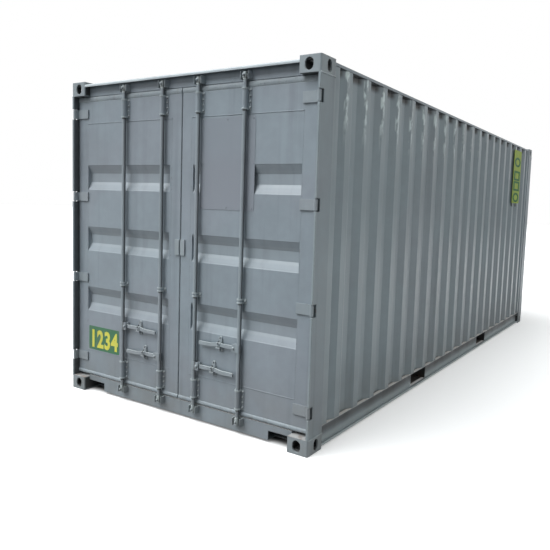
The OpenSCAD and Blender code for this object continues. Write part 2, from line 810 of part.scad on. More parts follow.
module left_door_frame() { color("Gray") door_frame(); }
module left_door_panel() { color("DarkGray") door_panel(); }
module left_door_lips() { color("DimGray") door_lips(); }
module left_hinge_blades() { color("Gray") hinge_blades(); }
module left_rod_guides() { color("Gray") rod_guides(); }
module left_handle_holders() { color("Gray") handle_holders(); }
module left_lock_plate() { color("Gray") lock_plate(); }
module right_door_frame() { color("Gray") mirror([0, 1, 0]) door_frame(); }
module right_door_panel() { color("DarkGray") mirror([0, 1, 0]) door_panel(); }
module right_door_lips() { color("DimGray") mirror([0, 1, 0]) door_lips(); }
module right_hinge_blades() { color("Gray") mirror([0, 1, 0]) hinge_blades(); }
module right_rod_guides() { color("Gray") mirror([0, 1, 0]) rod_guides(); }
module right_handle_holders() { color("Gray") mirror([0, 1, 0]) handle_holders(); }
module right_lock_plate() { color("Gray") mirror([0, 1, 0]) lock_plate(); }

// A cam's outline: a round boss with a tapered, rounded nose on the handle's side
module cam_section(s) {
    nose_y = s*(cam_r - cam_nose);
    circle(r = rod_r + 1, $fn = 32);
    translate([0, nose_y]) circle(r = cam_nose, $fn = 32);
    polygon([[-rod_r, s], [rod_r, s], [cam_nose, nose_y], [-cam_nose, nose_y]]);
}

// A fork plate's outline: as tall as the hub, from a start at the rod to just past the pivot. It
// lies along +X here.
module fork_section(start) {
    offset(r = 5, $fn = 24) offset(delta = -5)
        translate([start, -hub_h/2]) square([pivot_y + fork_end - start, hub_h]);
}

// A lock rod: a tube with a cam at each end and a forked hub for the handle
module lock_rod(y, z, s) {
    door_end() translate([rod_v, y, 0]) difference() {
        union() {
            translate([0, 0, rod_z0]) cylinder(r = rod_r, h = rod_z1 - rod_z0, $fn = 32);
            for (band = [keepers_bottom, keepers_top])
                translate([0, 0, band[0] + cam_gap])
                    linear_extrude(height = band[1] - band[0] - 2*cam_gap) cam_section(s);
            for (z = [keepers_bottom[1] - cam_gap, keepers_top[0] + cam_gap - cam_ring_h])
                translate([0, 0, z]) cylinder(r = rod_r + cam_ring, h = cam_ring_h, $fn = 32);
            translate([0, 0, z - hub_h/2]) cylinder(r = rod_r + hub_t, h = hub_h, $fn = 32);
            for (t = [-1, 1])
                translate([t*fork_v - fork_plate/2, 0, z]) rotate([90, 0, 90])
                    linear_extrude(height = fork_plate) mirror([s > 0 ? 0 : 1, 0])
                        fork_section(t < 0 ? 3 - rod_r : 0);
            translate([-fork_v, s*pivot_y, z]) rotate([0, 90, 0])
                cylinder(r = pivot_r, h = 2*fork_v, $fn = 24);
        }
        translate([0, 0, sill_z1]) cylinder(r = rod_r - rod_t, h = header_z0 - sill_z1, $fn = 32);
    }
}

// A handle: a flat bar on the hub's pin, with a dropped, square free end
module handle(y, z, s) {
    h = handle_h/2;
    l = handle_l - pivot_y;
    drop = handle_drop;
    door_end() translate([rod_v - handle_t/2, y + s*pivot_y, z]) rotate([90, 0, 90])
        linear_extrude(height = handle_t) mirror([s > 0 ? 0 : 1, 0]) difference() {
            union() {
                circle(r = h, $fn = 32);
                offset(r = 3, $fn = 16) offset(delta = -3)
                    polygon([[0, -h], [l*0.48, -h], [l*0.66, -h - drop], [l, -h - drop],
                        [l, h - drop], [l*0.67, h - drop], [l*0.49, h], [0, h]]);
            }
            circle(r = pivot_r + pin_gap, $fn = 24);
        }
}

module left_rod_outer() { color("LightGray") lock_rod(rod_out_y, handle_hi_z, -1); }
module left_rod_inner() { color("LightGray") lock_rod(rod_in_y, handle_lo_z, 1); }
module right_rod_outer() { color("LightGray") mirror([0, 1, 0]) lock_rod(rod_out_y, handle_hi_z, -1); }
module right_rod_inner() { color("LightGray") mirror([0, 1, 0]) lock_rod(rod_in_y, handle_lo_z, 1); }
module left_handle_outer() { color("Silver") handle(rod_out_y, handle_hi_z, -1); }
module left_handle_inner() { color("Silver") handle(rod_in_y, handle_lo_z, 1); }
module right_handle_outer() { color("Silver") mirror([0, 1, 0]) handle(rod_out_y, handle_hi_z, -1); }
module right_handle_inner() { color("Silver") mirror([0, 1, 0]) handle(rod_in_y, handle_lo_z, 1); }

corner_castings_top();
corner_castings_bottom();
door_posts();
end_posts();
door_header();
door_sill();
end_header();
end_sill();
top_rails();
bottom_rail_webs();
bottom_rail_flanges();
fork_hole_plates();
side_wall_left();
side_wall_right();
end_wall();
roof_panel();
cross_members();
fork_pocket_walls();
fork_pocket_plates();
floor_boards();
hinge_pins();
cam_keepers_top();
cam_keepers_bottom();
left_door_frame();
left_door_panel();
left_door_lips();
left_hinge_blades();
left_rod_guides();
left_handle_holders();
left_lock_plate();
right_door_frame();
right_door_panel();
right_door_lips();
right_hinge_blades();
right_rod_guides();
right_handle_holders();
right_lock_plate();
left_rod_outer();
left_rod_inner();
right_rod_outer();
right_rod_inner();
left_handle_outer();
left_handle_inner();
right_handle_outer();
right_handle_inner();
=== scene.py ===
import json
import math

import bpy
from mathutils import Matrix, Vector


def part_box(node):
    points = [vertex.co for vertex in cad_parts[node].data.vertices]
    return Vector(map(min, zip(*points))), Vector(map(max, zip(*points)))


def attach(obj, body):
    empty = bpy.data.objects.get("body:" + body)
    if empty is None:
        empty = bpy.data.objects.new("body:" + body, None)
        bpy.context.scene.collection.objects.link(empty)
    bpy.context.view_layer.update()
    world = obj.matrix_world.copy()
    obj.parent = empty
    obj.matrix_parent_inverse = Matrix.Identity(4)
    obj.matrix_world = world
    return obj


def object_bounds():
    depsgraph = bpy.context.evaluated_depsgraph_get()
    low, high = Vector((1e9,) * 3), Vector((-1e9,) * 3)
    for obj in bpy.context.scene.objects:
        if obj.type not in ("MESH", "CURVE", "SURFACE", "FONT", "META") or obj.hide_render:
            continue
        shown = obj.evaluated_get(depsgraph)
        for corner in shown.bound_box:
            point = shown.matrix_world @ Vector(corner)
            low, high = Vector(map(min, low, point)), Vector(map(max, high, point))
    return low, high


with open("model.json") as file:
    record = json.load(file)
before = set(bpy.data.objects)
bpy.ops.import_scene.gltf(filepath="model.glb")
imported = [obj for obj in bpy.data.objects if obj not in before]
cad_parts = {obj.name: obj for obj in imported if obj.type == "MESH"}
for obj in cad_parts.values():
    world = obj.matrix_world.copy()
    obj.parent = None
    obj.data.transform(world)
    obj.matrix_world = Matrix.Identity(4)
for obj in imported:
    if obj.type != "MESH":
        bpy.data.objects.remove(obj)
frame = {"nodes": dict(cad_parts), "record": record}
nodes = frame["nodes"]
cad_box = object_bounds()


# Corner castings: eight hollow cast steel blocks, one at each corner, with stadium holes for
# twist locks and hooks. They are welded to the posts and rails and painted with the rest. Rain
# stands on their upper ledges, so the enamel has gone to rust there and along the edges.
class Flow:
    """A value on its way through a material's nodes; sums and products of values add Math nodes."""

    def __init__(self, tree, socket):
        self.tree = tree
        self.socket = socket

    def node(self, kind, links, out=0, **settings):
        made = self.tree.nodes.new("ShaderNode" + kind)
        for name, value in settings.items():
            setattr(made, name, value)
        for name, value in links.items():
            if isinstance(value, Flow):
                self.tree.links.new(value.socket, made.inputs[name])
            else:
                made.inputs[name].default_value = value
        return Flow(self.tree, made.outputs[out])

    def math(self, operation, *values):
        return self.node("Math", dict(enumerate(values)), operation=operation)

    def __add__(self, other):
        return self.math("ADD", self, other)

    def __radd__(self, other):
        return self.math("ADD", other, self)

    def __sub__(self, other):
        return self.math("SUBTRACT", self, other)

    def __rsub__(self, other):
        return self.math("SUBTRACT", other, self)

    def __mul__(self, other):
        return self.math("MULTIPLY", self, other)

    def __rmul__(self, other):
        return self.math("MULTIPLY", other, self)

    def part(self, axis):
        """One coordinate of a point or direction."""
        return self.node("SeparateXYZ", {"Vector": self}, out="XYZ".index(axis))

    def step(self, low, high):
        """0 below low, 1 above high and smooth between."""
        return self.node("MapRange", {"Value": self, "From Min": low, "From Max": high},
                         interpolation_type="SMOOTHSTEP")

    def band(self, low, high, soft):
        """1 between low and high, and 0 further out than soft."""
        return self.step(low - soft, low)*(1 - self.step(high, high + soft))

    def size(self):
        """This value without its sign."""
        return self.math("ABSOLUTE", self)

    def noise(self, scale, detail=3.0, stretch=(1, 1, 1)):
        """Noise at this point, with scale in cycles per metre."""
        point = self.node("Mapping", {"Vector": self, "Scale": stretch})
        return self.node("TexNoise", {"Vector": point, "Scale": scale, "Detail": detail})

    def mix(self, first, second):
        """The first colour where this value is 0 and the second where it is 1."""
        return self.node("Mix", {0: self, 6: first, 7: second}, out=2, data_type="RGBA")

    def shaded(self, shade):
        """This colour times a number."""
        return self.node("VectorMath", {0: self, "Scale": shade}, operation="SCALE")


def new_material(name):
    """An empty principled material, its shader and its object coordinates."""
    material = bpy.data.materials.new(name)
    material.use_nodes = True
    tree = material.node_tree
    shader = tree.nodes["Principled BSDF"]
    point = Flow(tree, tree.nodes.new("ShaderNodeTexCoord").outputs["Object"])
    return material, shader, point


def tinted(colour, red, green, blue):
    """A colour with each channel multiplied."""
    return (colour[0]*red, colour[1]*green, colour[2]*blue, 1)


container_grey = (0.252, 0.300, 0.336, 1)
yard_dust = (0.205, 0.190, 0.165, 1)
dark_rust = (0.055, 0.024, 0.012, 1)
light_rust = (0.225, 0.112, 0.062, 1)
# Pale dust that also stands in as painted light on low upward ledges.
pale_dust_and_light = (0.640, 0.610, 0.580, 1)
# Painted shade: the near-black that painted shade mixes into a paint.
painted_shade_black = (0.012, 0.011, 0.010, 1)
splash_h, shade_h = 0.62, 1.60
low_ledge_levels = (0.10, 0.20)
knock_levels = (1.75, 2.45)


def weathered_paint(name, colour, wear=0.4, round_edge=0.004, dents=0.3, high_dents=0.0,
                    ledge_rust=0.0, ledge_dust_and_light=0.0, rough=0.36, streaks=1.0, highlight_gain=1.0,
                    low_dark=0.09, painted_shade=None, painted_light=None):
    """Faded enamel: cloudy tone, runs, dust near the ground, dents, and rust on worn edges. Pale dust on
    low upward ledges also stands in as painted light. Two functions of the point and its normal give
    painted shade, which turns the paint black, and painted light, which turns it pale; a gain sets how
    pale the painted light is, low_dark how much darker the paint is near the ground, and high_dents
    adds dents at the height of the lifting gear."""
    material, shader, point = new_material(name)
    links = material.node_tree.links
    height = point.part("Z")
    cloud = point.noise(2.3, 4).step(0.28, 0.74)
    mottle = point.noise(15, 2).step(0.25, 0.80)
    runs = point.noise(13, 3, (1, 1, 0.045)).step(0.50, 0.76)
    chalk = point.noise(6, 3, (1, 1, 0.10)).step(0.56, 0.80)
    grime = (1 - height.step(0.02, splash_h))*(0.25 + 0.75*point.noise(5, 4).step(0.32, 0.68))
    patch = point.noise(1.3, 3).step(0.42, 0.60)
    tone = patch.mix(colour, tinted(colour, 1.015, 0.98, 0.985))
    low_shade = 1 - height.step(0.15, shade_h)
    change = 0.13*cloud + 0.07*mottle + 0.10*chalk - 0.16*runs
    tone = tone.shaded(1.0 - 0.08*streaks + streaks*change - low_dark*low_shade)
    tone = (0.38*grime).mix(tone, yard_dust)
    soft = point.node("Bevel", {"Radius": round_edge}, samples=4)
    flat = point.node("NewGeometry", {}, out=1)
    alike = point.node("VectorMath", {0: soft, 1: flat}, out=1, operation="DOT_PRODUCT")
    edge = 1 - alike.step(0.72, 0.985)
    chips = point.noise(34, 6).step(0.60 - 0.12*wear, 0.70)
    spots = point.noise(23, 5).step(0.735, 0.775)
    ledge = flat.part("Z").step(0.5, 0.9)*point.noise(21, 5).step(0.40, 0.66)
    rust = (edge*chips*wear + spots*(0.35*wear) + ledge*ledge_rust).step(0.05, 0.40)
    rust_tone = point.noise(60, 3).mix(dark_rust, light_rust)
    # Pale dust on low upward ledges, also standing in for painted light from the sky above.
    lit_dusty_ledge = flat.part("Z").step(0.6, 0.95)*height.band(*low_ledge_levels, 0.05)
    tone = (ledge_dust_and_light*lit_dusty_ledge).mix(tone, pale_dust_and_light)
    # Painted light: the tone turns pale where the painted-light function is 1.
    if painted_light:
        painted_light_pale = tinted(colour, 1.85*highlight_gain, 1.75*highlight_gain, 1.60*highlight_gain)
        tone = painted_light(point, flat).mix(tone, painted_light_pale)
    tone = rust.mix(tone, rust_tone)
    # Painted shade: the tone turns nearly black where the painted-shade function is 1.
    if painted_shade:
        tone = painted_shade(point, flat).mix(tone, painted_shade_black)
    links.new(tone.socket, shader.inputs["Base Color"])
    dull = rough + 0.12*mottle + 0.30*rust + 0.22*grime + 0.08*chalk
    links.new(dull.socket, shader.inputs["Roughness"])
    swell = 0.0035*dents + (0.010*high_dents)*height.step(*knock_levels)
    relief = swell*point.noise(6.5, 1, (1, 1, 0.45)) + (0.006*dents)*point.noise(2.1, 1, (1, 1, 0.6))
    relief = relief + 0.00005*point.noise(140, 2) - 0.0009*rust
    bump = point.node("Bump", {"Strength": 1.0, "Distance": 1.0, "Height": relief, "Normal": soft})
    links.new(bump.socket, shader.inputs["Normal"])
    return material


def paint(material, *names):
    """Gives CAD nodes this finish."""
    for name in names:
        nodes[name].data.materials.clear()
        nodes[name].data.materials.append(material)


low, high = cad_box
casting_low, casting_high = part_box("corner_castings_bottom")
casting_h = casting_high[2] - casting_low[2]
post_top = high[2] - casting_h


def casting_shade(point, normal):
    """Painted shade: 1 inside the castings' walls and under the upper ones, and 0 on their outer faces.
    """
    skin = 0.008
    from_end = high[0] - point.part("X").size()
    from_side = high[1] - point.part("Y").size()
    from_level = point.math("MINIMUM", point.part("Z"), high[2] - point.part("Z"))
    deep = from_end.step(skin, 2*skin)*from_side.step(skin, 2*skin)
    deep = deep*from_level.band(2*skin, casting_h - 1.5*skin, skin)
    under = (0 - normal.part("Z")).step(0.5, 0.9)*point.part("Z").step(post_top - 0.07, post_top - 0.02)
    return point.math("MAXIMUM", 0.9*deep, 0.8*under)


# The casting paint has painted shade inside the castings and under the upper ones.
casting_paint = weathered_paint("casting_paint", tinted(container_grey, 1.06, 1.04, 1.0), wear=0.9,
                                round_edge=0.006, dents=0.15, ledge_rust=0.22, ledge_dust_and_light=0.45,
                                painted_shade=casting_shade)
paint(casting_paint, "corner_castings_top", "corner_castings_bottom")


# Posts, beams and rails: folded steel plate and square tube, welded to the castings and to each
# other with thick runs of weld. Painted in the yard with the same grey enamel as the rest, but the
# header and the weld runs have paler copies of it, which are painted light.
post_depth = 0.178
end_post_w = 0.100
rail_web_out, rail_web_in = 0.038, 0.060
rail_web_low, rail_web_top = 0.115, 0.160
rail_lip_in, rail_lip_top = 0.020, 0.030
eave_reach = (0.010, 0.030)
eave_foot = 2.530
door_gap_in = 0.019


def rail_web(point):
    """1 on the bottom rails' webs, between the posts."""
    beside = (high[1] - point.part("Y").size()).band(rail_web_out, rail_web_in, 0.008)
    return beside*(high[0] - point.part("X").size()).step(post_depth - 0.008, post_depth + 0.002)


def rail_shade(point, normal):
    """Painted shade: 1 under the ledges of the rails."""
    level = point.part("Z")
    web = rail_web(point)*level.band(rail_web_low, rail_web_top, 0.070)
    under = (0 - normal.part("Z")).step(0.5, 0.9)*level.step(post_top - 0.073, post_top + 0.027)
    return 0.75*web + 0.90*under


def rail_floor_light(point, normal):
    """Painted light: 1 low on the rails, paler towards the floor like light reflected from it."""
    level = point.part("Z")
    outside = 1 - (high[1] - point.part("Y").size()).step(rail_lip_in, rail_lip_in + 0.010)
    lip = outside*(1 - level.step(rail_lip_top, rail_lip_top + 0.010))
    web = rail_web(point)*(1 - level.step(0.040, 0.085))
    return point.math("MAXIMUM", 0.70*web, 0.80*lip)


def door_gap_shade(point, normal):
    """Painted shade: 1 on the posts' inner sides, in the gap beside the doors."""
    from_side = high[1] - point.part("Y").size()
    inner = from_side.step(door_gap_in - 0.006, door_gap_in)*(point.part("X") - low[0]).step(0.003, 0.014)
    edge = from_side.band(door_gap_in - 0.0005, door_gap_in + 0.0015, 0.0025)
    return point.math("MAXIMUM", 0.72*inner, 0.40*edge)


def post_edge_highlight(point, normal):
    """Painted highlight: 1 along the posts' outer corner."""
    reach = high[1] - point.part("Y").size() + point.part("X") - low[0]
    return 0.34*(1 - reach.step(0.004, 0.018))*point.noise(9, 3, (1, 1, 0.3)).step(0.25, 0.6)


def eave_pocket_shade(point, normal):
    """Painted shade: 1 high up behind the header's eave and 0 on the eave itself and low on the header.
    """
    behind = (point.part("X") - low[0]).step(*eave_reach)
    return 0.60*behind*point.part("Z").step(eave_foot, eave_foot + 0.026)


def eave_highlight(point, normal):
    """Painted highlight: 1 on the eave's face and top."""
    out = 1 - (point.part("X") - low[0]).step(*eave_reach)
    return out*(0.55 + 0.35*point.noise(8, 3).step(0.3, 0.7))


# The frame paint has painted shade under the rails' ledges and painted light low on the rails.
frame_paint = weathered_paint("frame_paint", container_grey, wear=0.30, dents=0.25, ledge_rust=0.03,
                              ledge_dust_and_light=0.95, painted_shade=rail_shade, painted_light=rail_floor_light)
paint(frame_paint, "end_posts", "door_sill", "end_header", "end_sill", "top_rails", "bottom_rail_webs",
      "bottom_rail_flanges", "fork_hole_plates")
# The post paint has painted shade in the gaps beside the doors and a painted highlight along the posts'
# outer corners.
post_paint = weathered_paint("post_paint", tinted(container_grey, 0.95, 0.97, 0.96), wear=0.6,
                             round_edge=0.010, dents=0.35, painted_shade=door_gap_shade, painted_light=post_edge_highlight)
paint(post_paint, "door_posts")
# Painted light: the header's grey is a much paler copy, lifted to make up for the eave's shadow; it also
# has painted shade behind the eave and a painted highlight on the eave.
lit_header_paint = weathered_paint("lit_header_paint", tinted(container_grey, 1.27, 1.26, 1.27), wear=0.45,
                               dents=0.2, painted_shade=eave_pocket_shade, painted_light=eave_highlight)
paint(lit_header_paint, "door_header")
# Painted highlight: the weld paint is a paler copy of the grey, for the light that the beads catch from
# above.
lit_weld_paint = weathered_paint("lit_weld_paint", tinted(container_grey, 1.35, 1.32, 1.25), wear=0.3, dents=0.1)


def pick(piece, kind, test):
    """Selects the faces or edges of a mesh that pass a test, and leaves it in edit mode."""
    bpy.ops.object.mode_set(mode="EDIT")
    bpy.ops.mesh.select_mode(type=kind)
    bpy.ops.mesh.select_all(action="DESELECT")
    bpy.ops.object.mode_set(mode="OBJECT")
    for item in piece.data.polygons if kind == "FACE" else piece.data.edges:
        item.select = test(item)
    bpy.ops.object.mode_set(mode="EDIT")


def along_z(edge):
    """Whether an edge of the active mesh runs along its own Z."""
    points = bpy.context.object.data.vertices
    first, second = (points[i].co for i in edge.vertices)
    return (first.xy - second.xy).length < 1e-6


def joined(name, pieces):
    """Joins pieces into one, with its place in its mesh."""
    bpy.context.view_layer.objects.active = pieces[0]
    bpy.ops.object.mode_set(mode="OBJECT")
    bpy.ops.object.select_all(action="DESELECT")
    for piece in pieces:
        piece.select_set(True)
    if len(pieces) > 1:
        bpy.ops.object.join()
    bpy.ops.object.transform_apply(location=True, rotation=True, scale=True)
    made = bpy.context.object
    made.name = name
    return made


def seat(piece, material, body, angle=40):
    """Gives a finished piece its finish, smooth shading and the body that it moves with."""
    piece.data.materials.clear()
    piece.data.materials.append(material)
    bpy.ops.object.shade_smooth_by_angle(angle=math.radians(angle))
    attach(piece, body)


def weld_runs(name, runs, width, material, body):
    """Runs of weld between pairs of points: eight-sided rods with uneven rings, joined."""
    ring = 0.022
    beads = []
    for count, (start, end) in enumerate(runs):
        run = Vector(end) - Vector(start)
        bpy.ops.object.select_all(action="DESELECT")
        bpy.ops.mesh.primitive_cylinder_add(
            vertices=8, radius=width/2, depth=run.length, location=(Vector(start) + Vector(end))/2,
            rotation=run.to_track_quat("Z", "Y").to_euler())
        bead = bpy.context.object
        pick(bead, "EDGE", along_z)
        bpy.ops.mesh.subdivide(number_cuts=max(2, int(run.length/ring)))
        bpy.ops.mesh.select_all(action="SELECT")
        bpy.ops.transform.vertex_random(offset=0.16*width, seed=count)
        bpy.ops.object.mode_set(mode="OBJECT")
        beads.append(bead)
    seat(joined(name, beads), material, body, angle=80)


casting_weld_w = 0.011
weld_end = 0.004
casting_runs = []
for end in (-1, 1):
    for side in (-1, 1):
        x0, y0 = end*high[0], side*high[1]
        for z in (casting_h, post_top):
            casting_runs.append(((x0 - end*weld_end, y0, z), (x0 - end*post_depth, y0, z)))
            if end > 0:
                y1 = y0 - side*(end_post_w - weld_end)
                casting_runs.append(((x0, y0 - side*weld_end, z), (x0, y1, z)))
weld_runs("casting_welds", casting_runs, casting_weld_w, lit_weld_paint, "frame")


# Walls and roof: thin steel sheet pressed into upright waves and welded to the rails. Years of
# knocks have left shallow dents that show in the gloss, most of all below the top rail. A painted
# shadow darkens the troughs under the top rail, and painted glints lighten the crests' edges near
# the doors.
wave_pitch, first_crest = 0.278, -2.641
trough_in = (0.016, 0.040)
shaded_levels = (2.485, 2.530)
glint_levels = (2.02, 2.42)


def wall_top_shadow(point, normal):
    """Painted shadow: 1 in the troughs just below the top rail, where the rail's shadow falls."""
    trough = (high[1] - point.part("Y").size()).step(*trough_in)
    return 0.92*trough*point.part("Z").step(*shaded_levels)


def crest_glints(point, normal):
    """Painted glints: 1 high on the crests' edges near the doors, where pale paint stands in for the
    gloss catching the sky.
    """
    turns = (point.part("X") - first_crest)*(1/wave_pitch) + 0.5
    place = point.math("FRACT", turns) - 0.5
    glint_band = place.band(-0.16, -0.05, 0.06)*point.part("Z").step(*glint_levels)
    worn = point.noise(24, 3, (1, 1, 0.40)).step(0.44, 0.60)
    return glint_band*worn*(1 - point.part("X").step(-1.6, 1.2))


# The wall paint has a painted shadow under the top rail and painted glints on the crests' edges.
wall_paint = weathered_paint("wall_paint", tinted(container_grey, 1.07, 1.10, 1.08), wear=0.05,
                             round_edge=0.010, dents=0.10, high_dents=1.0, rough=0.28, streaks=0.7,
                             highlight_gain=1.45, low_dark=0.16, painted_shade=wall_top_shadow, painted_light=crest_glints)
paint(wall_paint, "side_wall_left", "side_wall_right", "end_wall")
roof_paint = weathered_paint("roof_paint", tinted(container_grey, 0.98, 0.96, 0.92), wear=0.55,
                             round_edge=0.010, dents=0.8, ledge_rust=0.10)
paint(roof_paint, "roof_panel")


# Underside: pressed channels and plates below the floor, sprayed with a dark coat that is now
# dull with road dust.
underside_black = (0.030, 0.031, 0.033, 1)
road_dust = (0.120, 0.108, 0.090, 1)


def underside_coat():
    """Dark sprayed coat under dust, with rust coming through."""
    material, shader, point = new_material("underside_coat")
    links = material.node_tree.links
    dust = point.noise(7, 5).step(0.35, 0.70)
    rust = point.noise(19, 5).step(0.62, 0.74)
    tone = (0.7*dust).mix(underside_black, road_dust)
    tone = (0.8*rust).mix(tone, light_rust)
    links.new(tone.socket, shader.inputs["Base Color"])
    links.new((0.62 + 0.25*dust).socket, shader.inputs["Roughness"])
    bump = point.node("Bump", {"Strength": 0.6, "Distance": 0.002, "Height": point.noise(90, 3)})
    links.new(bump.socket, shader.inputs["Normal"])
    return material


paint(underside_coat(), "cross_members", "fork_pocket_walls", "fork_pocket_plates")


# Floor: thick plywood boards laid across the channels and held with round headed screws. The face
# veneer runs along the container and is scuffed and stained by loads.
dark_grain, pale_grain = (0.125, 0.062, 0.028, 1), (0.330, 0.200, 0.105, 1)
oil_stain = (0.060, 0.040, 0.026, 1)
scuffed_veneer = (0.400, 0.300, 0.200, 1)


def oiled_plywood():
    """Veneer with its grain along X, under stains and scuffs."""
    material, shader, point = new_material("oiled_plywood")
    links = material.node_tree.links
    grain = point.noise(9, 6, (0.16, 2.4, 1)).step(0.25, 0.75)
    fine = point.noise(70, 4, (0.05, 1.6, 1)).step(0.30, 0.70)
    stain = point.noise(2.4, 4).step(0.42, 0.70)
    scuff = point.noise(26, 3, (0.10, 1.8, 1)).step(0.62, 0.78)
    tone = (0.65*grain + 0.35*fine).mix(dark_grain, pale_grain)
    tone = (0.55*stain).mix(tone, oil_stain)
    tone = (0.45*scuff).mix(tone, scuffed_veneer)
    links.new(tone.socket, shader.inputs["Base Color"])
    links.new((0.52 + 0.2*grain + 0.1*stain).socket, shader.inputs["Roughness"])
    relief = 0.6*grain + 0.4*fine - 0.5*scuff
    bump = point.node("Bump", {"Strength": 0.5, "Distance": 0.0012, "Height": relief})
    links.new(bump.socket, shader.inputs["Normal"])
    return material


paint(oiled_plywood(), "floor_boards")
worn_zinc = (0.330, 0.340, 0.350, 1)


def bare_steel():
    """Worn zinc with a little rust, on the floor's screws."""
    material, shader, point = new_material("bare_steel")
    links = material.node_tree.links
    rust = point.noise(130, 4).step(0.52, 0.68)
    tone = (0.75*rust).mix(worn_zinc, light_rust)
    links.new(tone.socket, shader.inputs["Base Color"])
    links.new((0.9 - 0.85*rust).socket, shader.inputs["Metallic"])
    links.new((0.38 + 0.35*rust).socket, shader.inputs["Roughness"])
    bump = point.node("Bump", {"Strength": 0.4, "Distance": 0.0006, "Height": point.noise(300, 2)})
    links.new(bump.socket, shader.inputs["Normal"])
    return material


def bolt_head(radius):
    """One washer and round head that point along +Z, as a model for copies."""
    bpy.ops.object.select_all(action="DESELECT")
    bpy.ops.mesh.primitive_cylinder_add(vertices=12, radius=1.55*radius, depth=0.30*radius)
    head = bpy.context.object
    pick(head, "FACE", lambda face: face.normal.z > 0.9)
    bpy.ops.mesh.inset(thickness=0.50*radius)
    bpy.ops.mesh.extrude_region_move(TRANSFORM_OT_translate={"value": (0, 0, 0.75*radius)})
    bpy.ops.mesh.inset(thickness=0.32*radius, depth=0.25*radius)
    bpy.ops.object.mode_set(mode="OBJECT")
    return head


def bolt_group(name, radius, places, facing, material, body):
    """Copies of one bolt head at these places, all facing one way, joined."""
    model = bolt_head(radius)
    turn = Vector(facing).to_track_quat("Z", "Y").to_matrix().to_4x4()
    heads = []
    for place in places:
        head = model.copy()
        head.data = model.data.copy()
        head.matrix_world = Matrix.Translation(place) @ turn
        bpy.context.scene.collection.objects.link(head)
        heads.append(head)
    bpy.data.objects.remove(model)
    seat(joined(name, heads), material, body)


floor_low, floor_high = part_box("floor_boards")
screw_rows, screws_across = 18, 9
screw_r = 0.006
screw_places = []
for row in range(screw_rows):
    x = floor_low[0] + (row + 0.5)*(floor_high[0] - floor_low[0])/screw_rows
    for i in range(screws_across):
        y = floor_low[1] + (i + 0.5)*(floor_high[1] - floor_low[1])/screws_across
        screw_places.append((x, y, floor_high[2]))
bolt_group("floor_screws", screw_r, screw_places, (0, 0, 1), bare_steel(), "frame")


# Doors: two leaves, each a ring of folded channels with a pressed steel panel welded into it.
# The panel's three recesses stiffen it. A run of weld shows along its top and bottom edges.
door_paint = weathered_paint("door_paint", tinted(container_grey, 1.0, 1.0, 1.01), wear=0.35,
                             round_edge=0.006, dents=0.30)
door_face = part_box("left_door_frame")[0][0]
recess_in = (0.015, 0.022)
panel_weld_w = 0.0065


def under_slope_shade(point, normal):
    """Painted shade: 1 on the recesses' upper slopes, which face down."""
    return 0.40*(0 - normal.part("Z")).step(0.25, 0.60)


def upper_slope_light(point, normal):
    """Painted light: 1 on the recesses' lower slopes, which face up, and a little on their flats."""
    flats = (point.part("X") - door_face).step(*recess_in)
    return 0.10*flats + 0.34*normal.part("Z").step(0.25, 0.60)


# The panel paint has painted shade on the recesses' upper slopes and painted light on their lower slopes
# and flats.
panel_paint = weathered_paint("panel_paint", tinted(container_grey, 1.0, 1.0, 1.01), wear=0.3,
                              round_edge=0.006, dents=0.30, painted_shade=under_slope_shade, painted_light=upper_slope_light)
for name in ("left", "right"):
    paint(door_paint, name + "_door_frame")
    paint(panel_paint, name + "_door_panel")
    panel_low, panel_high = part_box(name + "_door_panel")
    runs = [((door_face, panel_low[1], z), (door_face, panel_high[1], z))
            for z in (panel_low[2], panel_high[2])]
    weld_runs(name + "_panel_weld", runs, panel_weld_w, door_paint, name + "_door")


# Lips: moulded rubber seals along the top and bottom of each leaf, held in the channel's edge and
# painted over with the door. The paint is cracked where the rubber flexes.
thin_coat = tinted(container_grey, 1.03, 1.01, 1.00)
thick_coat = tinted(container_grey, 1.26, 1.22, 1.17)
bare_rubber = (0.060, 0.062, 0.064, 1)


def painted_rubber():
    """Enamel over rubber, with dirty runs and fine cracks down to the rubber."""
    material, shader, point = new_material("painted_rubber")
    links = material.node_tree.links
    cracks = point.noise(55, 6, (1, 2.2, 1)).step(0.635, 0.68)
    cloud = point.noise(7, 4).step(0.30, 0.70)
    runs = point.noise(18, 3, (1, 1, 0.2)).step(0.55, 0.75)
    tone = (0.35*runs).mix(cloud.mix(thin_coat, thick_coat), yard_dust)
    tone = (0.5*cracks).mix(tone, bare_rubber)
    links.new(tone.socket, shader.inputs["Base Color"])
    links.new((0.55 + 0.2*cracks + 0.1*runs).socket, shader.inputs["Roughness"])
    relief = 0.4*point.noise(30, 2) - 0.5*cracks
    bump = point.node("Bump", {"Strength": 0.5, "Distance": 0.0012, "Height": relief})
    links.new(bump.socket, shader.inputs["Normal"])
    return material


paint(painted_rubber(), "left_door_lips", "right_door_lips")


# Hinges: four forged straps on each leaf, welded to its outer channel, that turn on steel pins in
# the notches of the posts.
gear_paint = weathered_paint("gear_paint", tinted(container_grey, 1.10, 1.08, 1.05), wear=0.5,
                             round_edge=0.003, dents=0.1, ledge_rust=0.08)
paint(gear_paint, "left_hinge_blades", "right_hinge_blades", "hinge_pins")


# Lock gear: four steel tubes that turn in sleeves bolted to the doors. A cam at each end turns in
# a keeper on the frame. Each tube has a forked hub with a lifting handle on a cross bolt, and the
# handle rests over a holder with a padlock eye.
joint_at = {j["name"]: Vector(j["pos_m"]) for j in frame["record"]["behaviour"]["joints"]}
rod_lines = [joint_at[f"{side}_{place}_rod_turn"].y
             for side in ("left", "right") for place in ("outer", "inner")]
rod_side = 0.0138
sleeve_levels = [(0.187, 0.330), (0.950, 0.982), (2.283, 2.428)]
lower_cam_top, upper_cam_foot = 0.131, 2.476
cam_groove = (2.492, 2.496)
collar_h = 0.010


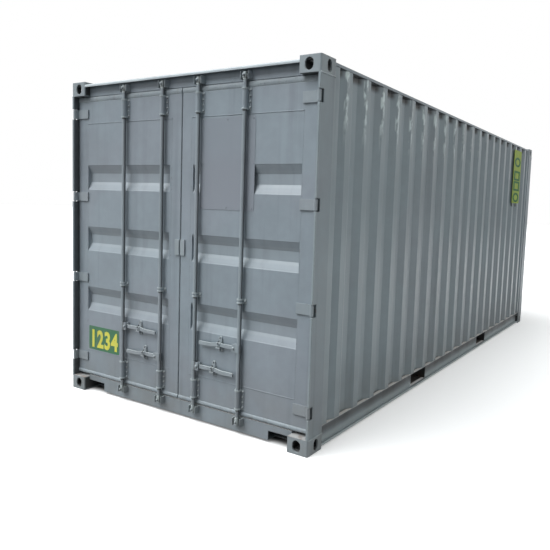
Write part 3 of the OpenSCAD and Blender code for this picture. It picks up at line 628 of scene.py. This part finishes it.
def cam_highlight(point, normal):
    """Painted highlight: 1 on the cams at both ends of a rod."""
    level = point.part("Z")
    above = level.step(upper_cam_foot - 0.006, upper_cam_foot + 0.006)
    below = 1 - level.step(lower_cam_top - 0.006, lower_cam_top + 0.006)
    return 0.85*(above + below)


def rod_shade(point, normal):
    """Painted shade: 1 just below each sleeve, in the cams' grooves and on the rods' right sides."""
    level, across = point.part("Z"), point.part("Y")
    shade_mask = 0.8*level.band(*cam_groove, 0.003)
    for foot, top in sleeve_levels:
        shade_mask = shade_mask + 0.8*level.band(foot - 0.009, foot, 0.005)
    for rod_y in rod_lines:
        shade_mask = shade_mask + 0.65*across.band(rod_y - 0.030, rod_y - rod_side, 0.0025)
    return point.math("MINIMUM", shade_mask, 0.85)


def collar_highlight(point, normal):
    """Painted highlight: 1 on the collars at the sleeves' ends."""
    level = point.part("Z")
    middles = [z for foot, top in sleeve_levels for z in (foot + collar_h/2, top - collar_h/2)]
    return 0.6*sum(level.band(z - 0.006, z + 0.006, 0.002) for z in middles)


# The rod paint has painted shade below the sleeves, in the cams' grooves and on the rods' right sides,
# and a painted highlight on the cams; the sleeve paint has a painted highlight on the collars.
rod_paint = weathered_paint("rod_paint", tinted(container_grey, 1.06, 1.05, 1.03), wear=0.45,
                            round_edge=0.003, dents=0.1, painted_shade=rod_shade, painted_light=cam_highlight)
sleeve_paint = weathered_paint("sleeve_paint", container_grey, wear=0.4, round_edge=0.002, dents=0.1,
                               painted_light=collar_highlight)


def top_face_highlight(point, normal):
    """Painted highlight: 1 on upper faces."""
    return 0.75*normal.part("Z").step(0.25, 0.70)


def under_face_shade(point, normal):
    """Painted shade: 1 on lower faces."""
    return 0.75*(0 - normal.part("Z")).step(0.25, 0.75)


# The handle paint has a painted highlight on upper faces and painted shade on lower ones.
handle_paint = weathered_paint("handle_paint", tinted(container_grey, 1.20, 1.17, 1.13), wear=0.45,
                               round_edge=0.003, dents=0.1, painted_shade=under_face_shade, painted_light=top_face_highlight)
paint(handle_paint, "cam_keepers_top", "cam_keepers_bottom")
clasp_size = (0.022, 0.034, 0.034)
eye_h = 0.012


def handle_clasp(name, place, body):
    """A padlock clasp on a handle: a rounded block with a raised face and an eye on top."""
    bpy.ops.object.select_all(action="DESELECT")
    bpy.ops.mesh.primitive_cube_add(size=1, location=place)
    clasp = bpy.context.object
    clasp.scale = clasp_size
    bpy.ops.object.transform_apply(location=False, rotation=False, scale=True)
    bpy.ops.object.mode_set(mode="EDIT")
    bpy.ops.mesh.select_all(action="SELECT")
    bpy.ops.mesh.bevel(offset=0.004, segments=2)
    pick(clasp, "FACE", lambda face: face.normal.x < -0.99)
    bpy.ops.mesh.inset(thickness=0.006)
    bpy.ops.mesh.extrude_region_move(TRANSFORM_OT_translate={"value": (-0.005, 0, 0)})
    bpy.ops.mesh.inset(thickness=0.004, depth=-0.002)
    pick(clasp, "FACE", lambda face: face.normal.z > 0.99)
    bpy.ops.mesh.inset(thickness=0.007)
    bpy.ops.mesh.extrude_region_move(TRANSFORM_OT_translate={"value": (0, 0, eye_h)})
    bpy.ops.mesh.bevel(offset=0.002, segments=2)
    seat(joined(name, [clasp]), handle_paint, body)


outward = (-1, 0, 0)
foot_t = 0.005
foot_face = door_face - foot_t
foot_bolt_r, foot_bolt_out = 0.0065, 0.0295
lower_bolts = [0.201, 0.239, 0.278, 0.316]
upper_bolts = [2.297, 2.336, 2.375, 2.414]
middle_bolt = 0.966
holder_in = {"outer": 0.186, "inner": 0.180}
cross_bolt_r, hub_front = 0.0085, 0.017
knob_r, knob_out, knob_levels = 0.0075, 0.021, (0.098, 2.512)
for name, side in (("left", 1), ("right", -1)):
    paint(sleeve_paint, name + "_rod_guides")
    paint(handle_paint, name + "_handle_holders", name + "_lock_plate")
    foot_places = []
    for place, inward in (("outer", -side), ("inner", side)):
        rod, handle = f"{name}_rod_{place}", f"{name}_handle_{place}"
        paint(rod_paint, rod)
        paint(handle_paint, handle)
        axis = joint_at[f"{name}_{place}_rod_turn"]
        pivot = joint_at[f"{name}_{place}_handle_lift"]
        for out in (-1, 1):
            for z in lower_bolts + [middle_bolt] + upper_bolts:
                foot_places.append((foot_face, axis.y + out*foot_bolt_out, z))
        hub_places = [(pivot.x - hub_front, pivot.y, pivot.z)]
        bolt_group(rod + "_cross_bolt", cross_bolt_r, hub_places, outward, handle_paint, rod)
        knob_places = [(axis.x - knob_out, axis.y, z) for z in knob_levels]
        bolt_group(rod + "_cam_knobs", knob_r, knob_places, outward, handle_paint, rod)
        clasp_y = axis.y + inward*holder_in[place]
        handle_clasp(handle + "_clasp", (pivot.x, clasp_y, pivot.z), handle)
    bolt_group(name + "_sleeve_bolts", foot_bolt_r, foot_places, outward, handle_paint, name + "_door")


# Number plate: a thin green sheet bonded to the left door, with plain yellow numbers that are cut
# from vinyl.
def sign_enamel(name, colour, worn, gloss=0.5):
    """Sign enamel that has chalked and scratched to a paler tone."""
    material, shader, point = new_material(name)
    shader.inputs["Specular IOR Level"].default_value = gloss
    links = material.node_tree.links
    chalk = point.noise(24, 5).step(0.35, 0.72)
    scratch = point.noise(60, 4, (1, 0.25, 1.6)).step(0.64, 0.70)
    dust = point.noise(9, 4).step(0.45, 0.75)
    tone = (0.30*chalk).mix(colour, worn)
    tone = (0.45*scratch).mix(tone, worn)
    tone = (0.22*dust).mix(tone, yard_dust)
    links.new(tone.socket, shader.inputs["Base Color"])
    links.new((0.34 + 0.2*chalk + 0.2*scratch).socket, shader.inputs["Roughness"])
    bump = point.node("Bump", {"Strength": 0.3, "Distance": 0.0005, "Height": point.noise(160, 2)})
    links.new(bump.socket, shader.inputs["Normal"])
    return material


def sheet_plate(name, place, size, corner, material, body):
    """A thin sheet with rounded corners, size along X, Y and Z; its thin way is found from size."""
    thin = size.index(min(size))
    bpy.ops.object.select_all(action="DESELECT")
    bpy.ops.mesh.primitive_cube_add(size=1, location=place)
    plate = bpy.context.object
    plate.scale = size
    bpy.ops.object.transform_apply(location=False, rotation=False, scale=True)
    points = plate.data.vertices

    def through(edge):
        step = points[edge.vertices[0]].co - points[edge.vertices[1]].co
        return abs(step[thin]) > 1e-6 and abs(step.length - abs(step[thin])) < 1e-6

    pick(plate, "EDGE", through)
    bpy.ops.mesh.bevel(offset=corner, segments=4)
    bpy.ops.mesh.select_all(action="SELECT")
    bpy.ops.mesh.bevel(offset=0.3*size[thin], segments=1)
    seat(joined(name, [plate]), material, body)


sign_green = sign_enamel("sign_green", (0.010, 0.120, 0.042, 1), (0.045, 0.190, 0.085, 1))
sign_yellow = sign_enamel("sign_yellow", (0.720, 0.680, 0.055, 1), (0.780, 0.800, 0.280, 1))
plate_t = 0.0015
plate_y, plate_z = 0.8665, 0.460
plate_w, plate_h = 0.378, 0.202
plate_corner = 0.008
vinyl_half = 0.0004
number_size, number_drop = 0.200, 0.072
stroke_gain = 0.0075
sheet_plate("number_plate", (door_face - plate_t/2, plate_y, plate_z), (plate_t, plate_w, plate_h),
            plate_corner, sign_green, "left_door")
bpy.ops.object.select_all(action="DESELECT")
bpy.ops.object.text_add(location=(door_face - plate_t - vinyl_half, plate_y, plate_z - number_drop),
                        rotation=(math.radians(90), 0, math.radians(-90)))
numbers = bpy.context.object
numbers.data.body = "1234"
numbers.data.align_x = "CENTER"
numbers.data.size = number_size
numbers.data.offset = stroke_gain
numbers.data.extrude = vinyl_half
numbers.data.space_character = 1.12
numbers.scale = (0.80, 1, 1)
bpy.ops.object.convert(target="MESH")
bpy.ops.object.mode_set(mode="EDIT")
bpy.ops.mesh.select_all(action="SELECT")
bpy.ops.mesh.remove_doubles(threshold=0.0001)
bpy.ops.object.mode_set(mode="OBJECT")
seat(joined("plate_numbers", [bpy.context.object]), sign_yellow, "left_door")


# Sign plate: a bare sheet of painted steel riveted over the right door's panel, behind the rods. It
# hides most of the panel's upper recess.
plate_paint = weathered_paint("plate_paint", tinted(container_grey, 0.965, 0.925, 0.945), wear=0.2,
                              round_edge=0.002, dents=0.12, streaks=0.25)
bare_t, bare_corner = 0.002, 0.010
bare_y0, bare_y1, bare_z0, bare_z1 = -0.686, -0.190, 1.596, 2.246
bare_y, bare_z = (bare_y0 + bare_y1)/2, (bare_z0 + bare_z1)/2
sheet_plate("bare_sign_plate", (door_face - bare_t/2, bare_y, bare_z),
            (bare_t, bare_y1 - bare_y0, bare_z1 - bare_z0), bare_corner, plate_paint, "right_door")
rivet_r, rivet_in = 0.004, 0.018
rivets = [(door_face - bare_t, y, z)
          for y in (bare_y0 + rivet_in, bare_y, bare_y1 - rivet_in)
          for z in (bare_z0 + rivet_in, bare_z, bare_z1 - rivet_in)
          if (y, z) != (bare_y, bare_z)]
bolt_group("sign_plate_rivets", rivet_r, rivets, outward, plate_paint, "right_door")


# Side sign: a tall yellow sheet riveted to the crests of the long wall near its far end, with a
# plain column of green rings. Two dark tabs hang below it.
matt = 0.08
sign_lime = sign_enamel("sign_lime", (0.330, 0.450, 0.045, 1), (0.500, 0.560, 0.110, 1), matt)
ring_green = sign_enamel("ring_green", (0.018, 0.140, 0.030, 1), (0.060, 0.220, 0.070, 1), matt)
wall_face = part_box("side_wall_right")[0][1]
sign_x0, sign_x1, sign_z0, sign_z1 = 2.008, 2.408, 1.785, 2.505
sign_t, sign_corner = 0.002, 0.012
sign_x, sign_z = (sign_x0 + sign_x1)/2, (sign_z0 + sign_z1)/2
sheet_plate("side_sign", (sign_x, wall_face - sign_t/2, sign_z),
            (sign_x1 - sign_x0, sign_t, sign_z1 - sign_z0), sign_corner, sign_lime, "frame")
ring_t, ring_half_w, ring_half_h = 0.001, 0.165, 0.066
round_rings, square_rings = (0.080, 0.560), (0.235, 0.375)
rings = []
for up in sorted(round_rings + square_rings):
    bpy.ops.object.select_all(action="DESELECT")
    place = (sign_x, wall_face - sign_t - ring_t/2, sign_z0 + up)
    if up in square_rings:
        bpy.ops.mesh.primitive_cube_add(size=2, location=place)
        ring = bpy.context.object
    else:
        bpy.ops.mesh.primitive_cylinder_add(vertices=24, radius=1, depth=2, location=place)
        ring = bpy.context.object
        ring.rotation_euler = (math.radians(90), 0, 0)
        bpy.ops.object.transform_apply(location=False, rotation=True, scale=False)
    pick(ring, "FACE", lambda face: abs(face.normal.y) > 0.9)
    bpy.ops.mesh.inset(thickness=0.42)
    bpy.ops.mesh.bridge_edge_loops()
    bpy.ops.object.mode_set(mode="OBJECT")
    ring.scale = (ring_half_w, ring_t/2, ring_half_h)
    rings.append(ring)
seat(joined("side_sign_rings", rings), ring_green, "frame")
near_in, far_in, end_in = 0.06, 0.04, 0.02
sign_rivets = [(x, wall_face - sign_t, z) for x in (sign_x0 + near_in, sign_x1 - far_in)
               for z in (sign_z0 + end_in, sign_z, sign_z1 - end_in)]
bolt_group("side_sign_rivets", rivet_r, sign_rivets, (0, -1, 0), sign_lime, "frame")
tab_rubber = sign_enamel("tab_rubber", (0.016, 0.016, 0.015, 1), (0.050, 0.048, 0.044, 1))
tab_w, tab_t, tab_h = 0.040, 0.006, 0.060
tab_corner, tab_drop = 0.006, 0.018
tab_lines = (2.045, 2.250)
for count, x in enumerate(tab_lines):
    sheet_plate(f"sign_tab_{count}", (x, wall_face + tab_t/2, sign_z0 - tab_drop), (tab_w, tab_t, tab_h),
                tab_corner, tab_rubber, "frame")


# The stage: a plain pale floor that keeps the container's soft shadow, a dark cloth screen that the
# long wall mirrors in its gloss, and a sky that is white to the camera. Its light is strongest
# overhead and to the right of the doors, and a soft sun stands high on the left.
def background_rays(point):
    """1 for rays that show the background: from the camera, in gloss and through glass."""
    rays = [point.node("LightPath", {}, out=name) for name in
            ("Is Camera Ray", "Is Glossy Ray", "Is Transmission Ray")]
    return point.math("MAXIMUM", point.math("MAXIMUM", rays[0], rays[1]), rays[2])


def grey(shade):
    """A plain grey."""
    return (shade, shade, shade, 1)


def pale_ground():
    """White to the camera away from the container, with a painted shadow of dull grey below it, and dull
    grey to other light.
    """
    material, shader, point = new_material("pale_ground")
    links = material.node_tree.links
    seen = background_rays(point)
    # Painted shadow: the floor under the container's footprint is dark grey to the camera.
    across = (point.part("X").size() - high[0]).step(-0.14, -0.02)
    beside = (point.part("Y").size() - high[1]).step(-0.14, -0.02)
    unshadowed_floor = point.math("MAXIMUM", across, beside)
    tone = seen.mix(grey(0.15), unshadowed_floor.mix(grey(0.15), grey(0.80)))
    links.new(tone.socket, shader.inputs["Base Color"])
    shader.inputs["Roughness"].default_value = 0.9
    shader.inputs["Specular IOR Level"].default_value = 0.1
    glow = (seen*unshadowed_floor).mix(grey(0), grey(0.34))
    links.new(glow.socket, shader.inputs["Emission Color"])
    shader.inputs["Emission Strength"].default_value = 1.0
    return material


def dark_cloth():
    """Nearly black near the ground and paler higher up."""
    material, shader, point = new_material("dark_cloth")
    shader.inputs["Base Color"].default_value = (0.03, 0.035, 0.035, 1)
    shader.inputs["Roughness"].default_value = 0.9
    glow = point.part("Z").step(-1.0, 6.5).mix(grey(0.03), grey(0.9))
    material.node_tree.links.new(glow.socket, shader.inputs["Emission Color"])
    shader.inputs["Emission Strength"].default_value = 1.0
    return material


ground_size, ground_drop = 160, 0.001
bpy.ops.object.select_all(action="DESELECT")
bpy.ops.mesh.primitive_plane_add(size=ground_size, location=(0, 0, -ground_drop))
ground = bpy.context.object
ground.name = "ground"
ground.data.materials.append(pale_ground())

screen_place = (28.0, -16.0, 1.5)
screen_w, screen_h = 60, 16
screen_turn = math.radians(62)
bpy.ops.object.select_all(action="DESELECT")
bpy.ops.mesh.primitive_plane_add(size=1, location=screen_place,
                                 rotation=(math.radians(90), 0, screen_turn))
screen = bpy.context.object
screen.name = "dark_screen"
screen.scale = (screen_w, screen_h, 1)
bpy.ops.object.transform_apply(location=True, rotation=True, scale=True)
screen.data.materials.append(dark_cloth())
screen.visible_camera = False
screen.visible_diffuse = False
screen.visible_shadow = False

sky_colour = (0.97, 1.005, 1.0)
sky_all_round, sky_overhead, sky_right = 0.06, 0.50, 0.98
world = bpy.data.worlds.new("sky")
bpy.context.scene.world = world
world.use_nodes = True
tree = world.node_tree
background = tree.nodes["Background"]
sky_point = Flow(tree, tree.nodes.new("ShaderNodeTexCoord").outputs["Generated"])
from_right = (0 - sky_point.part("Y")).step(0.1, 1.0)*sky_point.part("X").step(-0.30, 0.10)
overhead = sky_point.part("Z").step(0.0, 1.0)
sky_light = sky_all_round + sky_overhead*overhead + sky_right*from_right
sky_tone = sky_point.node("VectorMath", {0: sky_colour, "Scale": sky_light}, operation="SCALE")
straight = background_rays(sky_point)
tree.links.new(straight.mix(sky_tone, (1, 1, 1, 1)).socket, background.inputs["Color"])
background.inputs["Strength"].default_value = 1.0

sun_turn, sun_rise = math.radians(38), math.radians(53)
sun = bpy.data.lights.new("sun", "SUN")
sun.energy = 3.55
sun.angle = math.radians(52)
sun.color = (0.975, 0.995, 1.01)
sun_lamp = bpy.data.objects.new("sun", sun)
bpy.context.scene.collection.objects.link(sun_lamp)
to_sun = Vector((-math.cos(sun_turn)*math.cos(sun_rise), math.sin(sun_turn)*math.cos(sun_rise),
                 math.sin(sun_rise)))
sun_lamp.rotation_mode = "QUATERNION"
sun_lamp.rotation_quaternion = to_sun.to_track_quat("Z", "Y")


# The camera stands in front of the doors and to the right of them, at head height. Its lens and
# shift are worked out for a square picture of 550 by 550 pixels.
picture = 550
focal_px = 583.8
centre_px = (317.15, 258.85)
camera_place = Vector((-6.168, -3.171, 1.651))
heading, pitch, roll = math.radians(31.595), math.radians(-5.206), math.radians(2.107)
ahead = Vector((math.cos(pitch)*math.cos(heading), math.cos(pitch)*math.sin(heading), math.sin(pitch)))
sideways = ahead.cross(Vector((0, 0, 1))).normalized()
upward = sideways.cross(ahead)
right = math.cos(roll)*sideways + math.sin(roll)*upward
top = -math.sin(roll)*sideways + math.cos(roll)*upward
lens = bpy.data.cameras.new("camera")
lens.sensor_width = 36
lens.lens = lens.sensor_width*focal_px/picture
lens.shift_x = -(centre_px[0] - picture/2)/picture
lens.shift_y = (centre_px[1] - picture/2)/picture
lens.clip_end = 500
camera = bpy.data.objects.new("camera", lens)
bpy.context.scene.collection.objects.link(camera)
turn = Matrix((right, top, -ahead)).transposed().to_4x4()
camera.matrix_world = Matrix.Translation(camera_place) @ turn
bpy.context.scene.camera = camera
bpy.context.scene.view_settings.view_transform = "Standard"
